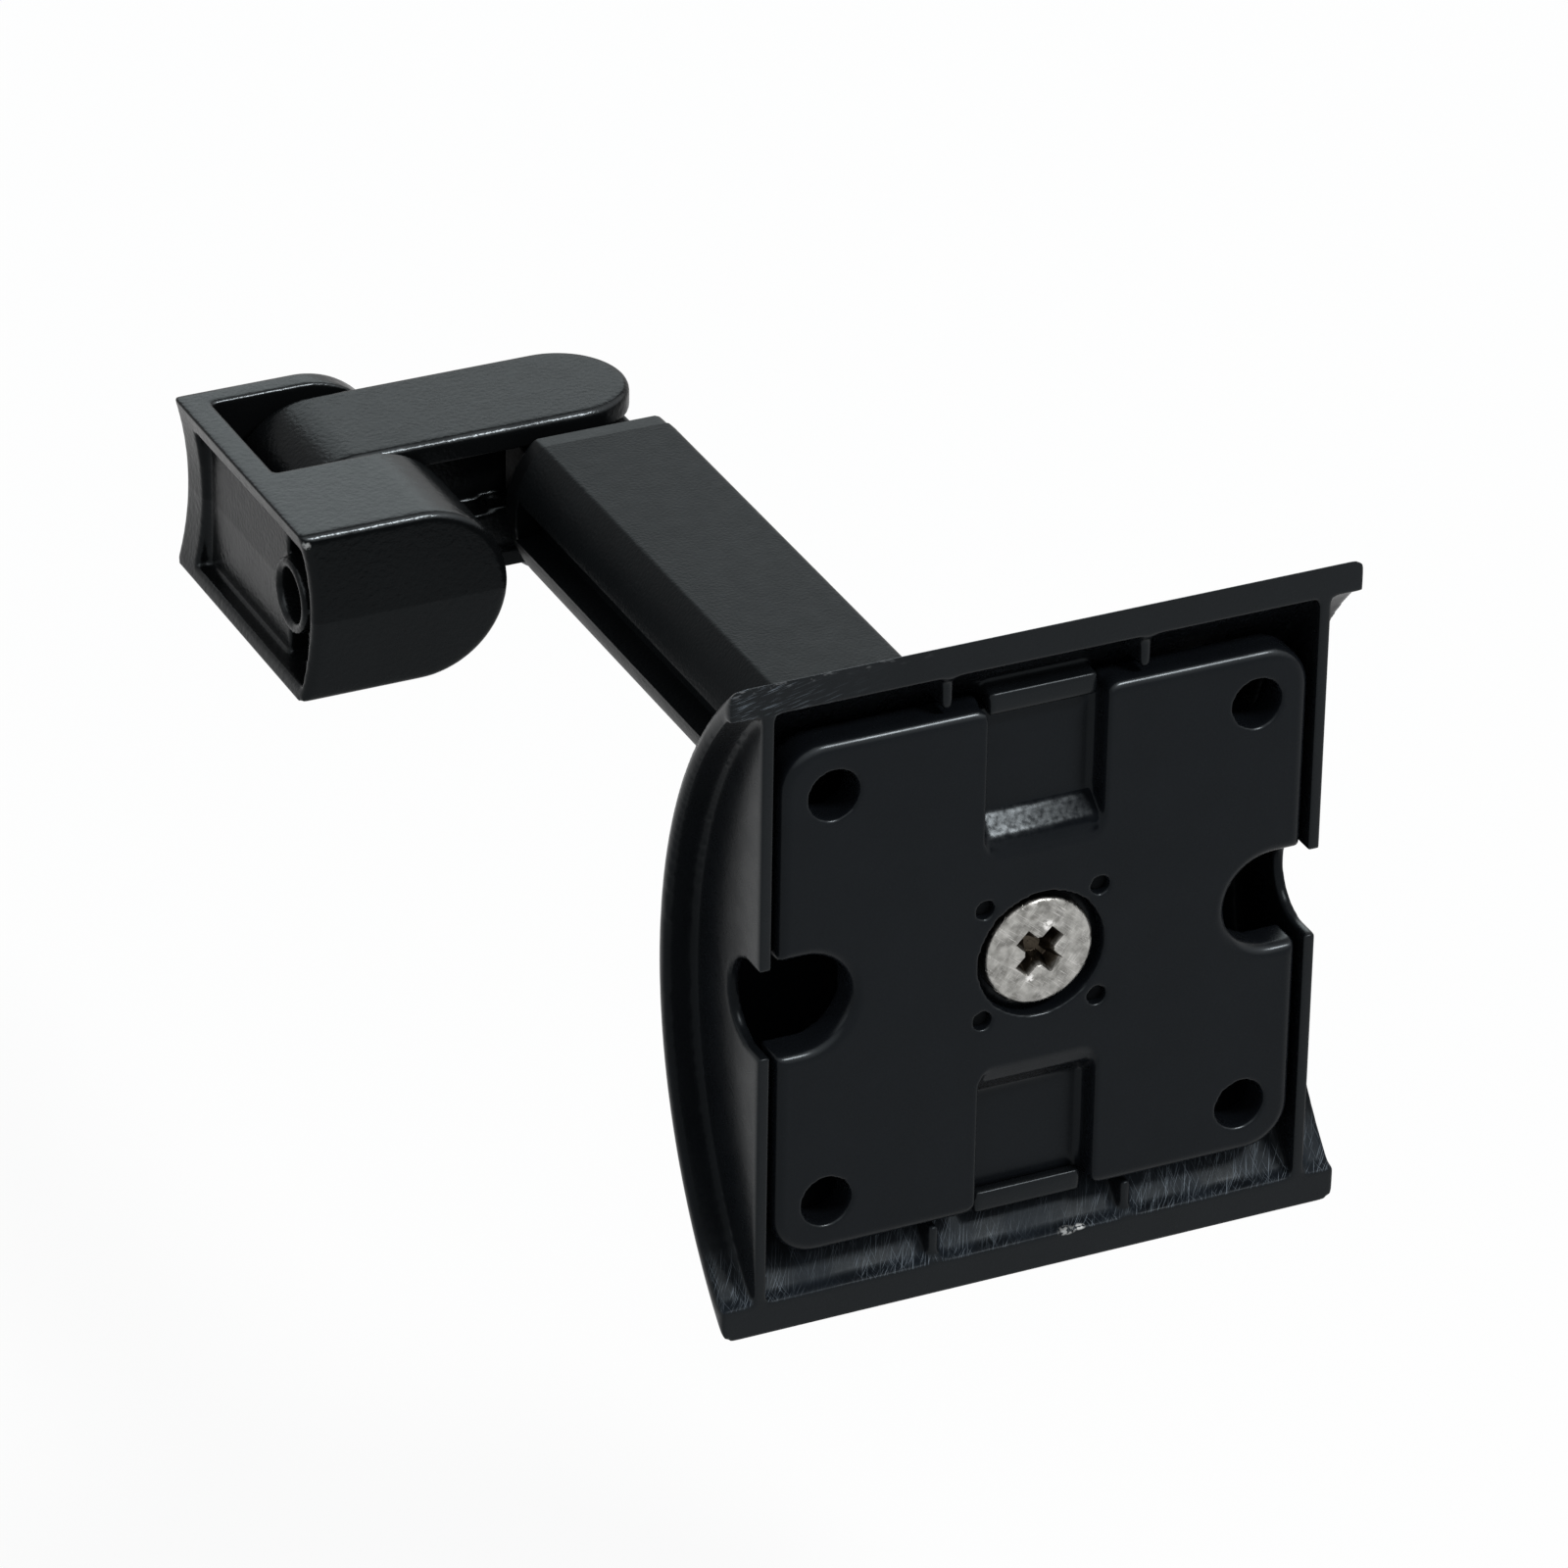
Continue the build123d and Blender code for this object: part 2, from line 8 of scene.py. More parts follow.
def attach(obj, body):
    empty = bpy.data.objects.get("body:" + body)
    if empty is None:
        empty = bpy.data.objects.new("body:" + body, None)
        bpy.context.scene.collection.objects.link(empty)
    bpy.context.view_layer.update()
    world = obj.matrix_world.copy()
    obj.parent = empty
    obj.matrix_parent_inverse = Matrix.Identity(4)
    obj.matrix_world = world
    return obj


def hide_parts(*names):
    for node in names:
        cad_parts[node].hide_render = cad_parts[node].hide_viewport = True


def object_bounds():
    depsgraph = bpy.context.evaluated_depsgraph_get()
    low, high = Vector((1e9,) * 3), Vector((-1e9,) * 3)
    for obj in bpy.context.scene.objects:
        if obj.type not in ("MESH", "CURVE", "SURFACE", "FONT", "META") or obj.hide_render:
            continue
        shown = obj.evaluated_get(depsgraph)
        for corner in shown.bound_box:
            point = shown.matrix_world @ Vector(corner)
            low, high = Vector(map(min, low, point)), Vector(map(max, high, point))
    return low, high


# A wall bracket for a small loudspeaker, seen from its wall side as it came out of its bag.
# The sections below follow the order in which the bracket is put together on a bench.
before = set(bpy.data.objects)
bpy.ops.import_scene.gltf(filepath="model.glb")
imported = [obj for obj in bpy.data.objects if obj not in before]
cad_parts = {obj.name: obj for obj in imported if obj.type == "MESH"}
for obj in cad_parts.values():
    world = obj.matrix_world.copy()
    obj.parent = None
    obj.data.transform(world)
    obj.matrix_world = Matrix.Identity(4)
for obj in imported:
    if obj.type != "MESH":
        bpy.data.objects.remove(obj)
cad_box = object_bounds()

# Photographer's table.
# The bracket floats over a pale floor in soft light, with a large lamp behind it, a small bright
# one high at the front right and one at the left. A long lens looks down at its wall side.
LENS_AZIMUTH = math.radians(-25.53)
LENS_ELEVATION = math.radians(29.23)
LENS_ROLL = math.radians(0.95)
LENS_DISTANCE = 0.924
LENS_LENGTH = 206.3
AIM_RIGHT = -0.0268
AIM_UP = 0.0170
FLOOR_DROP = 0.07
FLOOR_WIDTH = 6.0
FLOOR_PALE = (0.86, 0.86, 0.86, 1.0)
FLOOR_WHITENESS = 0.9
WHITE = (1.0, 1.0, 1.0, 1.0)
ROOM_LEVEL = 0.5


def photographers_lens():
    """Puts the camera where the photograph was taken from."""
    back = Vector((
        math.sin(LENS_AZIMUTH) * math.cos(LENS_ELEVATION),
        -math.cos(LENS_AZIMUTH) * math.cos(LENS_ELEVATION),
        math.sin(LENS_ELEVATION),
    ))
    level_right = Vector((math.cos(LENS_AZIMUTH), math.sin(LENS_AZIMUTH), 0.0))
    level_up = back.cross(level_right)
    right = level_right * math.cos(LENS_ROLL) + level_up * math.sin(LENS_ROLL)
    up = level_up * math.cos(LENS_ROLL) - level_right * math.sin(LENS_ROLL)
    lens = bpy.data.objects.new("lens", bpy.data.cameras.new("lens"))
    bpy.context.scene.collection.objects.link(lens)
    lens.data.lens = LENS_LENGTH
    lens.data.clip_start = 0.01
    lens.data.clip_end = 50.0
    place = back * LENS_DISTANCE + level_right * AIM_RIGHT + level_up * AIM_UP
    lens.matrix_world = Matrix.Translation(place) @ Matrix((right, up, back)).transposed().to_4x4()
    bpy.context.scene.camera = lens


def soft_box(name, place, aim, width, height, watts, colour=(1.0, 1.0, 1.0)):
    """One studio soft box, a rectangle of light that faces its aim."""
    light = bpy.data.lights.new(name, "AREA")
    light.color = colour
    light.shape = "RECTANGLE"
    light.size = width
    light.size_y = height
    light.energy = watts
    box = bpy.data.objects.new(name, light)
    box.location = place
    box.rotation_mode = "QUATERNION"
    box.rotation_quaternion = (Vector(aim) - Vector(place)).to_track_quat("-Z", "Y")
    bpy.context.scene.collection.objects.link(box)


def chained(tree, operation, values):
    """Several values taken together, two at a time, by one kind of sum."""
    result = values[0]
    for value in values[1:]:
        node = tree.nodes.new("ShaderNodeMath")
        node.operation = operation
        tree.links.new(result, node.inputs[0])
        tree.links.new(value, node.inputs[1])
        result = node.outputs[0]
    return result


def largest(tree, values):
    """The largest of several values."""
    return chained(tree, "MAXIMUM", values)


def seen_directly(tree):
    """A factor that is one for what the camera, a mirror or clear glass sees."""
    path = tree.nodes.new("ShaderNodeLightPath").outputs
    rays = ("Is Camera Ray", "Is Glossy Ray", "Is Transmission Ray")
    return largest(tree, [path[ray] for ray in rays])


def studio_world(strength):
    """Even light from all round, and white where it is seen directly."""
    world = bpy.data.worlds.new("studio")
    world.use_nodes = True
    tree = world.node_tree
    tree.nodes.clear()
    dim = tree.nodes.new("ShaderNodeBackground")
    dim.inputs["Color"].default_value = WHITE
    dim.inputs["Strength"].default_value = strength
    white = tree.nodes.new("ShaderNodeBackground")
    white.inputs["Color"].default_value = WHITE
    white.inputs["Strength"].default_value = 1.0
    mix = tree.nodes.new("ShaderNodeMixShader")
    out = tree.nodes.new("ShaderNodeOutputWorld")
    tree.links.new(seen_directly(tree), mix.inputs[0])
    tree.links.new(dim.outputs[0], mix.inputs[1])
    tree.links.new(white.outputs[0], mix.inputs[2])
    tree.links.new(mix.outputs[0], out.inputs["Surface"])
    bpy.context.scene.world = world


def floor_paper(name, colour, whiteness):
    """Pale paper that shows nearly white where it is seen directly, but keeps shadows."""
    paper = bpy.data.materials.new(name)
    paper.use_nodes = True
    tree = paper.node_tree
    tree.nodes.clear()
    sheet = tree.nodes.new("ShaderNodeBsdfDiffuse")
    sheet.inputs["Color"].default_value = colour
    glow = tree.nodes.new("ShaderNodeEmission")
    glow.inputs["Strength"].default_value = 1.0
    share = tree.nodes.new("ShaderNodeMath")
    share.operation = "MULTIPLY"
    share.inputs[1].default_value = whiteness
    mix = tree.nodes.new("ShaderNodeMixShader")
    out = tree.nodes.new("ShaderNodeOutputMaterial")
    tree.links.new(seen_directly(tree), share.inputs[0])
    tree.links.new(share.outputs[0], mix.inputs[0])
    tree.links.new(sheet.outputs[0], mix.inputs[1])
    tree.links.new(glow.outputs[0], mix.inputs[2])
    tree.links.new(mix.outputs[0], out.inputs["Surface"])
    return paper


def studio_floor(level, paper):
    """A wide level sheet of paper under the bracket."""
    mesh = bpy.data.meshes.new("floor")
    low = -FLOOR_WIDTH / 2
    high = FLOOR_WIDTH / 2
    corners = [(low, low, level), (high, low, level), (high, high, level), (low, high, level)]
    mesh.from_pydata(corners, [], [(0, 1, 2, 3)])
    mesh.materials.append(paper)
    floor = bpy.data.objects.new("floor", mesh)
    bpy.context.scene.collection.objects.link(floor)


photographers_lens()
studio_world(ROOM_LEVEL)
studio_floor(cad_box[0].z - FLOOR_DROP, floor_paper("floor_paper", FLOOR_PALE, FLOOR_WHITENESS))
soft_box("box_behind", place=(0.40, 1.05, 0.64), aim=(-0.02, 0.10, 0.0),
         width=0.9, height=0.6, watts=4.8, colour=(0.86, 0.975, 1.0))
soft_box("box_above", place=(0.46, -0.62, 0.92), aim=(0.0, 0.05, 0.0),
         width=0.26, height=0.2, watts=8.0)
soft_box("box_left", place=(-1.2, 0.1, 0.55), aim=(0.0, 0.05, 0.0),
         width=0.6, height=0.9, watts=2.5)

# Wall plate.
# The real plate is a die casting in zinc alloy with soft rounded edges under a satin black coat.
# Its corner holes take the wall screws, and its dished middle takes the long screw of the arm.
COAT_BLACK = (0.0045, 0.0055, 0.0070, 1.0)
COOL_SHEEN = (0.86, 0.95, 1.0, 1.0)
EDGE_FACING = (0.30, 0.46)
RAMP_SIDE = 0.0095
RAMP_FOOT = 0.0115
RAMP_HEAD = 0.0175
RAMP_BLEND = 0.0005
FLAT_TURN = math.radians(0.25)


def tree_of(name):
    """A new material with an empty surface shader, its tree and its surface coordinates."""
    material = bpy.data.materials.new(name)
    material.use_nodes = True
    tree = material.node_tree
    shader = tree.nodes["Principled BSDF"]
    where = tree.nodes.new("ShaderNodeTexCoord").outputs["Object"]
    return material, tree, shader, where


def cloud(tree, where, scale, detail=3.0, stretch=None):
    """Smooth noise over the surface, with its grain along a stretched direction if one is given."""
    if stretch:
        squeeze = tree.nodes.new("ShaderNodeMapping")
        squeeze.inputs["Scale"].default_value = stretch
        tree.links.new(where, squeeze.inputs["Vector"])
        where = squeeze.outputs["Vector"]
    noise = tree.nodes.new("ShaderNodeTexNoise")
    noise.inputs["Scale"].default_value = scale
    noise.inputs["Detail"].default_value = detail
    tree.links.new(where, noise.inputs["Vector"])
    return noise.outputs["Fac"]


def span(tree, value, low, high, new_low, new_high):
    """A value moved from one range to another, and held at its ends."""
    node = tree.nodes.new("ShaderNodeMapRange")
    node.inputs["From Min"].default_value = low
    node.inputs["From Max"].default_value = high
    node.inputs["To Min"].default_value = new_low
    node.inputs["To Max"].default_value = new_high
    tree.links.new(value, node.inputs["Value"])
    return node.outputs["Result"]


def spread(tree, noise, new_low, new_high):
    """The usual range of a noise moved to a new one."""
    return span(tree, noise, 0.3, 0.7, new_low, new_high)


def mask(tree, value, nowhere, everywhere):
    """Nothing where a value is at the first limit, and all where it is at the second."""
    return span(tree, value, nowhere, everywhere, 0.0, 1.0)


def product(tree, values):
    """Several values multiplied together."""
    return chained(tree, "MULTIPLY", values)


def blend_colour(tree, factor, first, second):
    """A colour between two, each a plain colour or another node's result."""
    node = tree.nodes.new("ShaderNodeMix")
    node.data_type = "RGBA"
    tree.links.new(factor, node.inputs["Factor"])
    first_socket, second_socket = [socket for socket in node.inputs if socket.type == "RGBA"]
    for colour, socket in ((first, first_socket), (second, second_socket)):
        if isinstance(colour, bpy.types.NodeSocket):
            tree.links.new(colour, socket)
        else:
            socket.default_value = colour
    return next(result for result in node.outputs if result.type == "RGBA")


def shade(colour, amount):
    """The same colour, darker or lighter."""
    return tuple(channel * amount for channel in colour[:3]) + (1.0,)


def mottled(tree, noise, colour, darker, lighter):
    """A colour that is darker in some patches of a noise and lighter in others."""
    patches = spread(tree, noise, 0.0, 1.0)
    return blend_colour(tree, patches, shade(colour, darker), shade(colour, lighter))


def raise_grain(tree, shader, height, depth):
    """Fine relief on the surface, its depth in metres."""
    bump = tree.nodes.new("ShaderNodeBump")
    bump.inputs["Distance"].default_value = depth
    tree.links.new(height, bump.inputs["Height"])
    tree.links.new(bump.outputs["Normal"], shader.inputs["Normal"])


def parts_of(tree, vector):
    """The three parts of a vector."""
    node = tree.nodes.new("ShaderNodeSeparateXYZ")
    tree.links.new(vector, node.inputs[0])
    return node.outputs


def facing_of(tree):
    """The three parts of the direction that the surface faces."""
    return parts_of(tree, tree.nodes.new("ShaderNodeTexCoord").outputs["Normal"])


def sheen_edges(tree):
    """One on edges that look both up and to the wall, which get a painted sheen of extra gloss."""
    _, into, up = facing_of(tree)
    to_wall = mask(tree, into, 0.0, -1.0)
    upward = mask(tree, up, 0.0, 1.0)
    return mask(tree, product(tree, [to_wall, upward]), *EDGE_FACING)


def coat(name, colour, roughness, grain, depth, specular, edge_sheen, share=None):
    """Baked coating: a near-even colour, uneven gloss, a fine grain and a painted sheen on its
    edges.
    """
    material, tree, shader, where = tree_of(name)
    shader.inputs["Specular Tint"].default_value = COOL_SHEEN
    patches = cloud(tree, where, scale=160.0, detail=5.0)
    tint = mottled(tree, patches, colour, darker=0.93, lighter=1.09)
    tree.links.new(tint, shader.inputs["Base Color"])
    smears = cloud(tree, where, scale=520.0, detail=6.0)
    gloss = spread(tree, smears, roughness - 0.02, roughness + 0.03)
    tree.links.new(gloss, shader.inputs["Roughness"])
    # Painted sheen: more gloss on edges that look up and to the wall, so that they show highlights.
    painted_edge_sheen = product(tree, [sheen_edges(tree), span(tree, patches, 0.3, 0.6, 0.5, 1.0)])
    shine = span(tree, painted_edge_sheen, 0.0, 1.0, specular, edge_sheen)
    if share:
        shine = product(tree, [shine, share(tree, where)])
    tree.links.new(shine, shader.inputs["Specular IOR Level"])
    raise_grain(tree, shader, cloud(tree, where, scale=grain, detail=2.0), depth)
    return material


def ramp_sheen(tree, where):
    """Painted highlight on the ramp, with sandy scuffs in it: most at the ramp's left end, weaker
    towards its foot, and grainy all over the ramp.
    """
    along, _, up = parts_of(tree, where)
    on_ramp = product(tree, [
        mask(tree, sheen_edges(tree), 0.0, 0.3),
        mask(tree, along, RAMP_SIDE, RAMP_SIDE - RAMP_BLEND),
        mask(tree, along, -RAMP_SIDE, RAMP_BLEND - RAMP_SIDE),
        mask(tree, up, RAMP_FOOT, RAMP_FOOT + RAMP_BLEND),
        mask(tree, up, RAMP_HEAD, RAMP_HEAD - RAMP_BLEND),
    ])
    fade = mask(tree, along, RAMP_SIDE - RAMP_BLEND, RAMP_BLEND - RAMP_SIDE)
    sandy = span(tree, cloud(tree, where, scale=1700.0, detail=5.0), 0.35, 0.65, 0.35, 1.35)
    shaded_foot = span(tree, up, RAMP_FOOT + 0.0010, RAMP_FOOT + 0.0035, 0.3, 1.25)
    node = tree.nodes.new("ShaderNodeMix")
    node.inputs["A"].default_value = 1.0
    tree.links.new(on_ramp, node.inputs["Factor"])
    tree.links.new(product(tree, [fade, fade, sandy, shaded_foot]), node.inputs["B"])
    return node.outputs["Result"]


def blank(node, name, material):
    """A copy of a CAD piece in its own finish, not yet worked."""
    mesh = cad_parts[node].data.copy()
    mesh.name = name
    mesh.materials.clear()
    mesh.materials.append(material)
    piece = bpy.data.objects.new(name, mesh)
    bpy.context.scene.collection.objects.link(piece)
    return piece


def baked(piece, name):
    """Turns what a piece's modifiers give into its own mesh."""
    graph = bpy.context.evaluated_depsgraph_get()
    solid = bpy.data.meshes.new_from_object(piece.evaluated_get(graph), depsgraph=graph)
    piece.modifiers.clear()
    solid.name = name
    piece.data = solid
    return solid


def fitted(piece, node, body):
    """Puts a finished piece in the place of its CAD node, on the body that it rides on."""
    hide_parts(node)
    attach(piece, body)


def softened(node, name, body, material, grid, passes, reshape=None):
    """A cast or moulded piece: its CAD form rebuilt on a fine grid, with all edges worn soft."""
    piece = blank(node, name, material)
    skin = piece.modifiers.new("skin", "REMESH")
    skin.mode = "VOXEL"
    skin.voxel_size = grid
    if reshape:
        reshape(baked(piece, name))
    wear = piece.modifiers.new("wear", "SMOOTH")
    wear.factor = 0.5
    wear.iterations = passes
    flats = piece.modifiers.new("flats", "DECIMATE")
    flats.decimate_type = "DISSOLVE"
    flats.angle_limit = FLAT_TURN
    for face in baked(piece, name).polygons:
        face.use_smooth = True
    fitted(piece, node, body)


plate_finish = coat("plate_finish", COAT_BLACK, roughness=0.26, grain=900.0, depth=0.000005,
                    specular=0.1, edge_sheen=0.38, share=ramp_sheen)
softened("wall_plate", "wall_plate_cast", "wall_base", plate_finish,
         grid=0.00035, passes=4)

# Wall cover.
# The real cover is moulded in black plastic, bowed towards the room, and clips over the plate.
# Handling has scuffed its lips, where fine pale scratches cross each other.
PLASTIC_BLACK = (0.0046, 0.0055, 0.0066, 1.0)
SCUFF_GREY = (0.009, 0.012, 0.016, 1.0)
SCRATCH_GREY = (0.15, 0.18, 0.21, 1.0)
RAW_GREY = (0.10, 0.105, 0.11, 1.0)
CHIP_GREY = (0.30, 0.31, 0.31, 1.0)
COVER_FOOT = cad_box[0].z
COVER_TOP = cad_box[1].z
LOW_LIP_HEIGHT = (COVER_FOOT + 0.0084, COVER_FOOT + 0.0059)
LOW_LIP_DEPTH = (0.012, 0.006)
LOW_LIP_FACING = (0.35, 0.7)
HIGH_LIP_HEIGHT = (COVER_TOP - 0.0039, COVER_TOP - 0.0034)
HIGH_LIP_DEPTH = (0.0015, 0.0010)
HIGH_LIP_HELD = (-0.018, -0.030)
RIGHT_HELD = (0.010, 0.020)
LEFT_HELD = (-0.026, -0.031)
TOP_EDGE_HEIGHT = (COVER_TOP - 0.0010, COVER_TOP - 0.0005)
TOP_EDGE_DEPTH = (0.0030, 0.0015)
TOP_EDGE_CHIPPED = (-0.012, -0.034)
INSIDE_DEPTH = (0.0015, 0.006)
SCRATCH_WIDTH = 0.022
ON_LIP = (1.0, 1.0, 0.0)
ON_FACE = (1.0, 0.0, 1.0)
LARGE_NICK = (0.0041, 0.0004, -0.0348)
SMALL_NICK = (0.0056, 0.0004, -0.0347)
CORNER_ROUND = 0.0016


def scratch_lines(tree, where, across, turns, scale, low, high):
    """Fine straight scratches on a face: noise drawn out along a line, only its crests kept."""
    flat = tree.nodes.new("ShaderNodeMapping")
    flat.inputs["Scale"].default_value = across
    tree.links.new(where, flat.inputs["Vector"])
    squeeze = tree.nodes.new("ShaderNodeMapping")
    squeeze.vector_type = "TEXTURE"
    squeeze.inputs["Rotation"].default_value = Euler([math.radians(turn) for turn in turns])
    squeeze.inputs["Scale"].default_value = (1.0, SCRATCH_WIDTH, SCRATCH_WIDTH)
    tree.links.new(flat.outputs["Vector"], squeeze.inputs["Vector"])
    return mask(tree, cloud(tree, squeeze.outputs["Vector"], scale, detail=1.0), low, high)


def nick(finish, place, radius, colour, flatness=1.0):
    """A small chip in a finish, round or flattened, where the pale material below shows."""
    tree = finish.node_tree
    socket = tree.nodes["Principled BSDF"].inputs["Base Color"]
    where = tree.nodes.new("ShaderNodeTexCoord").outputs["Object"]
    centred = tree.nodes.new("ShaderNodeMapping")
    centred.inputs["Location"].default_value = (-place[0], -place[1], -place[2] * flatness)
    centred.inputs["Scale"].default_value = (1.0, 1.0, flatness)
    tree.links.new(where, centred.inputs["Vector"])
    reach = tree.nodes.new("ShaderNodeVectorMath")
    reach.operation = "LENGTH"
    tree.links.new(centred.outputs["Vector"], reach.inputs[0])
    near = mask(tree, reach.outputs["Value"], radius, radius * 0.5)
    ragged = mask(tree, cloud(tree, where, scale=2600.0, detail=4.0), 0.42, 0.52)
    chipped = blend_colour(tree, product(tree, [near, ragged]), socket.links[0].from_socket, colour)
    tree.links.new(chipped, socket)


def lower_lip(tree, where):
    """One on the top of the lower lip, which hands and packing have rubbed most."""
    _, into, up = parts_of(tree, where)
    return product(tree, [
        mask(tree, up, *LOW_LIP_HEIGHT),
        mask(tree, into, *LOW_LIP_DEPTH),
        mask(tree, facing_of(tree)[2], *LOW_LIP_FACING),
    ])


def handling_marks(tree, where, low_lip):
    """Scratches on the lower lip and on the upper lip's left end, most of them at the sides."""
    along, into, up = parts_of(tree, where)
    handled = largest(tree, [
        span(tree, cloud(tree, where, scale=110.0, detail=2.0), 0.42, 0.58, 0.15, 1.0),
        mask(tree, along, *RIGHT_HELD),
        mask(tree, along, *LEFT_HELD),
    ])
    lines = largest(tree, [
        scratch_lines(tree, where, ON_LIP, (0, 0, 46), scale=300.0, low=0.63, high=0.70),
        scratch_lines(tree, where, ON_LIP, (0, 0, 62), scale=230.0, low=0.64, high=0.71),
        scratch_lines(tree, where, ON_LIP, (0, 0, 105), scale=270.0, low=0.66, high=0.73),
    ])
    on_high_lip = product(tree, [
        mask(tree, up, *HIGH_LIP_HEIGHT),
        mask(tree, into, *HIGH_LIP_DEPTH),
        mask(tree, along, *HIGH_LIP_HELD),
        scratch_lines(tree, where, ON_FACE, (0, -12, 0), scale=330.0, low=0.62, high=0.70),
        handled,
    ])
    return largest(tree, [product(tree, [low_lip, lines, handled]), on_high_lip])


def edge_chips(tree, where):
    """Ragged chips along the left half of the cover's top edge."""
    along, into, up = parts_of(tree, where)
    ragged = cloud(tree, where, scale=1900.0, detail=6.0, stretch=(0.4, 1.0, 1.0))
    return product(tree, [
        mask(tree, up, *TOP_EDGE_HEIGHT),
        mask(tree, into, *TOP_EDGE_DEPTH),
        mask(tree, along, *TOP_EDGE_CHIPPED),
        mask(tree, ragged, 0.58, 0.64),
    ])


def cover_shine(tree, where, low_lip):
    """Less shine deep inside the cover, a painted shade, and on the scuffed lip, and more on the
    outer face.
    """
    inside = span(tree, parts_of(tree, where)[1], *INSIDE_DEPTH, 0.15, 0.06)
    outside = span(tree, facing_of(tree)[1], 0.0, 0.3, 0.0, 0.2)
    matt_lip = span(tree, low_lip, 0.0, 1.0, 1.0, 0.4)
    return product(tree, [largest(tree, [inside, outside]), matt_lip])


def scuffed_plastic(name, colour):
    """Moulded black plastic, rubbed grey along its lower lip and chipped along its top edge."""
    material, tree, shader, where = tree_of(name)
    shader.inputs["Specular Tint"].default_value = COOL_SHEEN
    low_lip = lower_lip(tree, where)
    patches = span(tree, cloud(tree, where, scale=170.0, detail=5.0), 0.38, 0.62, 0.15, 1.0)
    haze = product(tree, [low_lip, patches])
    marks = handling_marks(tree, where, low_lip)
    chips = edge_chips(tree, where)
    even = cloud(tree, where, scale=160.0, detail=5.0)
    plain = mottled(tree, even, colour, darker=0.92, lighter=1.1)
    hazy = blend_colour(tree, haze, plain, SCUFF_GREY)
    scratched = blend_colour(tree, marks, hazy, SCRATCH_GREY)
    tree.links.new(blend_colour(tree, chips, scratched, RAW_GREY), shader.inputs["Base Color"])
    tree.links.new(cover_shine(tree, where, low_lip), shader.inputs["Specular IOR Level"])
    smears = spread(tree, cloud(tree, where, scale=420.0, detail=6.0), 0.24, 0.31)
    rougher = span(tree, haze, 0.0, 1.0, 0.0, 0.15)
    tree.links.new(chained(tree, "ADD", [smears, rougher]), shader.inputs["Roughness"])
    grain = cloud(tree, where, scale=1500.0, detail=2.0)
    raise_grain(tree, shader, largest(tree, [grain, marks, chips]), depth=0.000012)
    return material


def rounded_corners(mesh):
    """Rounds the four corners of the cover's outline, as seen from the wall."""
    across = max(abs(point.co.x) for point in mesh.vertices) - CORNER_ROUND
    high = max(abs(point.co.z) for point in mesh.vertices) - CORNER_ROUND
    for point in mesh.vertices:
        over_x = abs(point.co.x) - across
        over_z = abs(point.co.z) - high
        reach = math.hypot(over_x, over_z)
        if over_x > 0.0 and over_z > 0.0 and reach > CORNER_ROUND:
            point.co.x = math.copysign(across + over_x * CORNER_ROUND / reach, point.co.x)
            point.co.z = math.copysign(high + over_z * CORNER_ROUND / reach, point.co.z)


cover_finish = scuffed_plastic("cover_finish", PLASTIC_BLACK)
nick(cover_finish, LARGE_NICK, radius=0.0012, colour=CHIP_GREY, flatness=3.0)
nick(cover_finish, SMALL_NICK, radius=0.0008, colour=shade(CHIP_GREY, 1.8), flatness=3.0)
softened("wall_cover", "wall_cover_moulded", "wall_base", cover_finish,
         grid=0.0004, passes=4, reshape=rounded_corners)

# Arm.
# The real arm is an aluminium extrusion, flat above and below, with a cable groove in each side.
# Its coat has a fine sandy grain, which is easiest to see on the lit top.
ARM_BLACK = (0.0040, 0.0048, 0.0054, 1.0)
WELD = 0.000002
SAME_FACE_TURN = math.radians(0.6)
EDGE_TURN = math.radians(32.0)


def dressed(node, name, body, material, edge):
    """A CAD piece with its sharp edges broken by a small round, in its own finish."""
    piece = blank(node, name, material)
    mesh = piece.data
    work = bmesh.new()
    work.from_mesh(mesh)
    bmesh.ops.remove_doubles(work, verts=work.verts, dist=WELD)
    bmesh.ops.dissolve_limit(work, angle_limit=SAME_FACE_TURN, verts=work.verts, edges=work.edges)
    work.to_mesh(mesh)
    work.free()
    for face in mesh.polygons:
        face.use_smooth = True
    mesh.set_sharp_from_angle(angle=EDGE_TURN)
    rounding = piece.modifiers.new("edge", "BEVEL")
    rounding.width = edge
    rounding.segments = 3
    rounding.limit_method = "ANGLE"
    rounding.angle_limit = EDGE_TURN
    rounding.use_clamp_overlap = True
    rounding.harden_normals = True
    fitted(piece, node, body)


arm_finish = coat("arm_finish", ARM_BLACK, roughness=0.42, grain=2600.0, depth=0.00007,
                  specular=0.042, edge_sheen=0.12)
dressed("arm_profile", "arm_extruded", "wall_base", arm_finish, edge=0.0005)

# Root plug and locating pins.
# A bare casting, tapped for the long screw, sits in the arm's wall end, and four steel pins key
# the arm to the plate. All stay hidden but for the pins' tips, in the plate's small holes.
BARE_GREY = (0.50, 0.50, 0.51, 1.0)
PIN_BLACK = (0.008, 0.009, 0.010, 1.0)


def metal(name, colour, roughness):
    """Bare or plated metal with fine scratches and uneven gloss."""
    material, tree, shader, where = tree_of(name)
    shader.inputs["Metallic"].default_value = 1.0
    patches = cloud(tree, where, scale=420.0, detail=6.0)
    tint = mottled(tree, patches, colour, darker=0.78, lighter=1.12)
    tree.links.new(tint, shader.inputs["Base Color"])
    lines = cloud(tree, where, scale=900.0, detail=4.0, stretch=(1.0, 1.0, 7.0))
    gloss = spread(tree, lines, roughness - 0.08, roughness + 0.12)
    tree.links.new(gloss, shader.inputs["Roughness"])
    raise_grain(tree, shader, lines, depth=0.00001)
    return material


